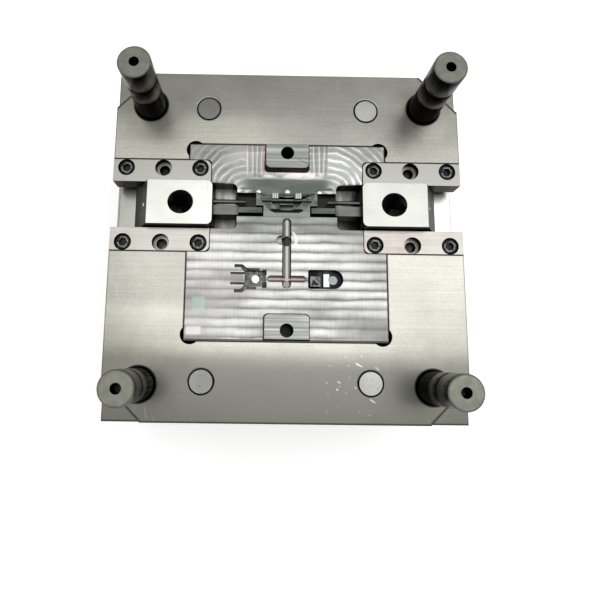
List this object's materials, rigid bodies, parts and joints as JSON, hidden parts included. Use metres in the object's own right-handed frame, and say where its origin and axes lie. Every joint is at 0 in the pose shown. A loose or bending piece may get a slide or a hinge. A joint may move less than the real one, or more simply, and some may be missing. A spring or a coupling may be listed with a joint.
{
  "type": "injection mould core half",
  "caption": "Moving half of an injection mould: mould base with core insert, two side slides in gibs, guide pins, return pins and a sprung ejector set.",
  "frame": {"origin": "centre of the clamp plate's underside", "axes": "+Z is the opening direction, towards the fixed half; X runs along the travel of the slides and across the clamp ledges; Y runs along the spacer blocks"},
  "size_m": [0.28, 0.23, 0.219],
  "materials": {
    "plate_steel": "finely ground plate steel, light oil film",
    "insert_steel": "milled and polished tool steel",
    "gib_steel": "ground wear steel, faint pink and brown tint",
    "slide_steel": "milled tool steel",
    "guide_steel": "hardened, ground and oiled, nearly black",
    "pin_steel": "ground and nitrided pins",
    "black_oxide": "black-oxide cap screws",
    "spring_blue": "enamelled flat-wire die spring",
    "base_steel": "sawn and milled carbon steel"
  },
  "bodies": {
    "base": {"bottom_clamp_plate": "base_steel", "spacer_block_left": "base_steel", "spacer_block_right": "base_steel", "support_pillars": "base_steel", "rest_buttons": "base_steel", "core_plate": "plate_steel", "core_insert": "insert_steel", "centre_core": "insert_steel", "gib_left_front": "gib_steel", "gib_left_back": "gib_steel", "gib_right_front": "gib_steel", "gib_right_back": "gib_steel", "guide_pin_left_front": "guide_steel", "guide_pin_left_back": "guide_steel", "guide_pin_right_front": "guide_steel", "guide_pin_right_back": "guide_steel", "slide_detents": "pin_steel", "mould_bolts": "black_oxide", "spacer_block_screws": "black_oxide", "support_pillar_screws": "black_oxide", "core_insert_screws": "black_oxide", "centre_core_screw": "black_oxide", "gib_screws": "black_oxide"},
    "ejector": {"ejector_plate": "base_steel", "ejector_retainer_plate": "base_steel", "ejector_plate_screws": "black_oxide", "return_springs": "spring_blue", "ejector_pin_left": "pin_steel", "ejector_pin_right": "pin_steel", "runner_ejector_pin": "pin_steel", "centre_ejector_pins": "pin_steel", "sprue_puller_pin": "pin_steel", "return_pin_left_front": "pin_steel", "return_pin_left_back": "pin_steel", "return_pin_right_front": "pin_steel", "return_pin_right_back": "pin_steel"},
    "slide_left": {"slide_body_left": "slide_steel", "slide_core_left": "insert_steel", "slide_core_dowel_left": "pin_steel"},
    "slide_right": {"slide_body_right": "slide_steel", "slide_core_right": "insert_steel", "slide_core_dowel_right": "pin_steel"}
  },
  "joints": [
    {"name": "ejector_stroke", "type": "slide", "parent": "base", "child": "ejector", "axis": [0, 0, 1], "range_m": [0, 0.025], "stiffness_N_per_m": 20000, "springref_m": -0.01, "deforming": ["return_springs"]},
    {"name": "slide_left_travel", "type": "slide", "parent": "base", "child": "slide_left", "axis": [-1, 0, 0], "range_m": [0, 0.01]},
    {"name": "slide_right_travel", "type": "slide", "parent": "base", "child": "slide_right", "axis": [1, 0, 0], "range_m": [0, 0.01]}
  ]
}
